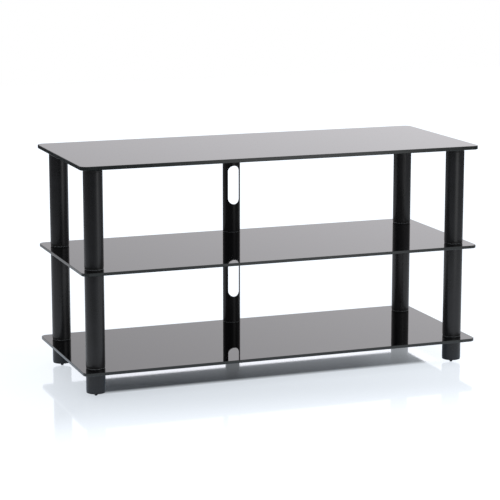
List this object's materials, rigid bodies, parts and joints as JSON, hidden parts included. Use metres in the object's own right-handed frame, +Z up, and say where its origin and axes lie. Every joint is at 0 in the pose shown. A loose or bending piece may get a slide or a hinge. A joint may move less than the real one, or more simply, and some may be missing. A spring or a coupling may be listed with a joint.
{
  "type": "audio video rack",
  "caption": "Free-standing audio video rack: black glass shelves on round black posts, a half-round cable column with slots at the back, and screw-adjusted levelling feet.",
  "frame": {"origin": "on the floor, under the middle of the shelves", "axes": "+X to the rack's right seen from the front, +Y to its back, +Z up"},
  "size_m": [1.1, 0.45, 0.602],
  "materials": {
    "black_glass": "black tempered float glass, polished, opaque",
    "post_tube": "satin black powder coat on steel tube",
    "channel": "satin black powder coat on folded steel sheet",
    "plug": "moulded black nylon",
    "gasket": "smoky soft vinyl washer",
    "bond_plate": "black anodised aluminium, glued to the glass",
    "sleeve": "natural nylon",
    "insert": "turned brass",
    "zinc_steel": "bright zinc plated steel",
    "levelling_screw": "black zinc plated steel",
    "glide": "moulded black nylon"
  },
  "bodies": {
    "rack": {"foot_tube_front_left": "post_tube", "foot_tube_front_right": "post_tube", "foot_tube_rear_left": "post_tube", "foot_tube_rear_right": "post_tube", "foot_tube_plugs": "plug", "lower_tube_front_left": "post_tube", "lower_tube_front_right": "post_tube", "lower_tube_rear_left": "post_tube", "lower_tube_rear_right": "post_tube", "lower_tube_plugs": "plug", "upper_tube_front_left": "post_tube", "upper_tube_front_right": "post_tube", "upper_tube_rear_left": "post_tube", "upper_tube_rear_right": "post_tube", "upper_tube_plugs": "plug", "bottom_shelf": "black_glass", "middle_shelf": "black_glass", "top_shelf": "black_glass", "middle_shelf_gaskets": "gasket", "middle_shelf_sleeves": "sleeve", "middle_shelf_studs": "zinc_steel", "bottom_shelf_gaskets": "gasket", "bottom_shelf_sleeves": "sleeve", "bottom_shelf_studs": "zinc_steel", "top_studs": "zinc_steel", "plug_inserts": "insert", "post_bond_discs": "bond_plate", "column_bond_plate": "bond_plate", "upper_cable_channel": "channel", "lower_cable_channel": "channel", "column_gaskets": "gasket", "column_foot_tube": "post_tube", "column_foot_plugs": "plug", "column_foot_inserts": "insert", "column_bolts": "zinc_steel", "column_washers": "zinc_steel", "column_nut": "zinc_steel"},
    "front_left_glide": {"glide_front_left": "glide"},
    "front_left_screw": {"levelling_screw_front_left": "levelling_screw"},
    "front_right_glide": {"glide_front_right": "glide"},
    "front_right_screw": {"levelling_screw_front_right": "levelling_screw"},
    "rear_left_glide": {"glide_rear_left": "glide"},
    "rear_left_screw": {"levelling_screw_rear_left": "levelling_screw"},
    "rear_right_glide": {"glide_rear_right": "glide"},
    "rear_right_screw": {"levelling_screw_rear_right": "levelling_screw"},
    "column_glide": {"glide_column": "glide"},
    "column_screw": {"levelling_screw_column": "levelling_screw"}
  },
  "joints": [
    {"name": "front_left_height", "type": "slide", "parent": "rack", "child": "front_left_glide", "axis": [0, 0, -1], "range_m": [0, 0.01]},
    {"name": "front_left_turn", "type": "hinge", "parent": "front_left_glide", "child": "front_left_screw", "pos_m": [-0.505, -0.167, 0.009], "axis": [0, 0, -1], "range_deg": [0, 2880]},
    {"name": "front_right_height", "type": "slide", "parent": "rack", "child": "front_right_glide", "axis": [0, 0, -1], "range_m": [0, 0.01]},
    {"name": "front_right_turn", "type": "hinge", "parent": "front_right_glide", "child": "front_right_screw", "pos_m": [0.505, -0.167, 0.009], "axis": [0, 0, -1], "range_deg": [0, 2880]},
    {"name": "rear_left_height", "type": "slide", "parent": "rack", "child": "rear_left_glide", "axis": [0, 0, -1], "range_m": [0, 0.01]},
    {"name": "rear_left_turn", "type": "hinge", "parent": "rear_left_glide", "child": "rear_left_screw", "pos_m": [-0.505, 0.167, 0.009], "axis": [0, 0, -1], "range_deg": [0, 2880]},
    {"name": "rear_right_height", "type": "slide", "parent": "rack", "child": "rear_right_glide", "axis": [0, 0, -1], "range_m": [0, 0.01]},
    {"name": "rear_right_turn", "type": "hinge", "parent": "rear_right_glide", "child": "rear_right_screw", "pos_m": [0.505, 0.167, 0.009], "axis": [0, 0, -1], "range_deg": [0, 2880]},
    {"name": "column_height", "type": "slide", "parent": "rack", "child": "column_glide", "axis": [0, 0, -1], "range_m": [0, 0.01]},
    {"name": "column_turn", "type": "hinge", "parent": "column_glide", "child": "column_screw", "pos_m": [0, 0.199, 0.009], "axis": [0, 0, -1], "range_deg": [0, 2880]}
  ],
  "couplings": [
    {"joint": "front_left_height", "follows": "front_left_turn", "m_per_rad": 0.00019894},
    {"joint": "front_right_height", "follows": "front_right_turn", "m_per_rad": 0.00019894},
    {"joint": "rear_left_height", "follows": "rear_left_turn", "m_per_rad": 0.00019894},
    {"joint": "rear_right_height", "follows": "rear_right_turn", "m_per_rad": 0.00019894},
    {"joint": "column_height", "follows": "column_turn", "m_per_rad": 0.00019894}
  ]
}
